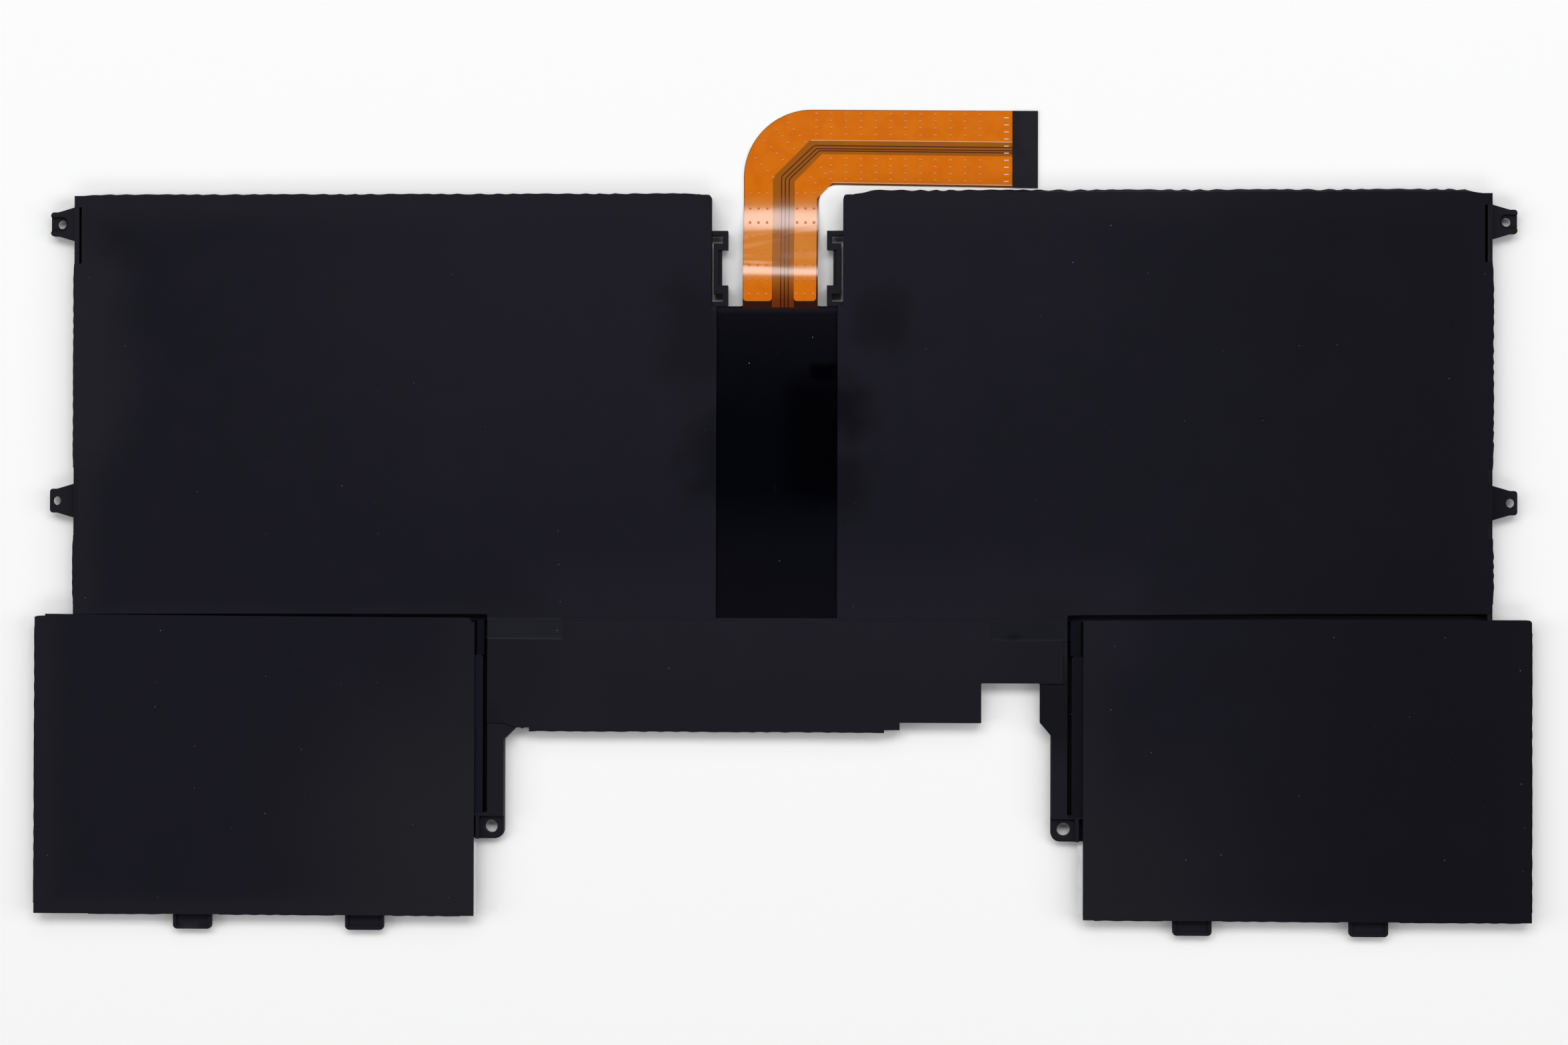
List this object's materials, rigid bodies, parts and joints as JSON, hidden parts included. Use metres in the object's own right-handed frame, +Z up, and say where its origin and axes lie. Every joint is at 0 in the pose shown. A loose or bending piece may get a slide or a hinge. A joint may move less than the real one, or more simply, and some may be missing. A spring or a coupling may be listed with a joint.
{
  "type": "laptop battery",
  "caption": "Flat black laptop battery pack: pouch cells in a moulded frame under film covers, with screw ears, foot tabs, a board strip and an amber flex lead.",
  "frame": {"origin": "under the middle of the pack, on the surface that it lies on", "axes": "+X along the pack's width, +Y towards the flex end, +Z up through its thickness"},
  "size_m": [0.285, 0.157, 0.0038],
  "materials": {
    "frame_plastic": "black moulded plastic with a fine texture",
    "cover_film": "matte blue-black polyester film",
    "black_tape": "glossy blue-black tape",
    "patch_tape": "satin black tape",
    "clear_film": "clear film",
    "pouch_foil": "aluminium laminate",
    "adhesive_sheet": "white double-sided adhesive",
    "flex_film": "amber polyimide over copper",
    "stiffener_plate": "satin black laminate",
    "gold_contact": "gold plating",
    "circuit_board": "dark green solder mask",
    "chip_resin": "black moulding resin",
    "fuse_ceramic": "tan ceramic",
    "aluminium_tab": "plain aluminium strip",
    "nickel_tab": "nickel strip"
  },
  "bodies": {
    "root": {"frame": "frame_plastic", "flex_circuit": "flex_film", "flex_stiffener": "stiffener_plate", "flex_contacts": "gold_contact", "channel_tape": "black_tape", "board_cover": "cover_film", "protection_board": "circuit_board", "switch_transistors": "chip_resin", "safety_fuse": "fuse_ceramic", "sense_resistor": "chip_resin", "gauge_chip": "chip_resin", "protector_chip": "chip_resin", "capacitors": "fuse_ceramic", "resistors": "chip_resin", "temperature_sensor": "chip_resin", "upper_left_cell": "pouch_foil", "upper_right_cell": "pouch_foil", "lower_left_cell": "pouch_foil", "lower_right_cell": "pouch_foil", "upper_left_cover": "cover_film", "upper_right_cover": "cover_film", "lower_left_cover": "cover_film", "lower_right_cover": "cover_film", "upper_left_back_film": "cover_film", "upper_right_back_film": "cover_film", "lower_left_back_film": "cover_film", "lower_right_back_film": "cover_film", "upper_left_adhesive": "adhesive_sheet", "upper_right_adhesive": "adhesive_sheet", "lower_left_adhesive": "adhesive_sheet", "lower_right_adhesive": "adhesive_sheet", "left_tab_patch": "patch_tape", "right_tab_patch": "patch_tape", "left_lead_tape": "patch_tape", "right_lead_tape": "patch_tape", "left_edge_film": "clear_film", "right_edge_film": "clear_film", "upper_left_positive_tab": "aluminium_tab", "upper_right_positive_tab": "aluminium_tab", "upper_left_negative_tab": "nickel_tab", "upper_right_negative_tab": "nickel_tab", "lower_left_positive_tab": "aluminium_tab", "lower_right_positive_tab": "aluminium_tab", "lower_left_negative_tab": "nickel_tab", "lower_right_negative_tab": "nickel_tab"}
  },
  "joints": []
}
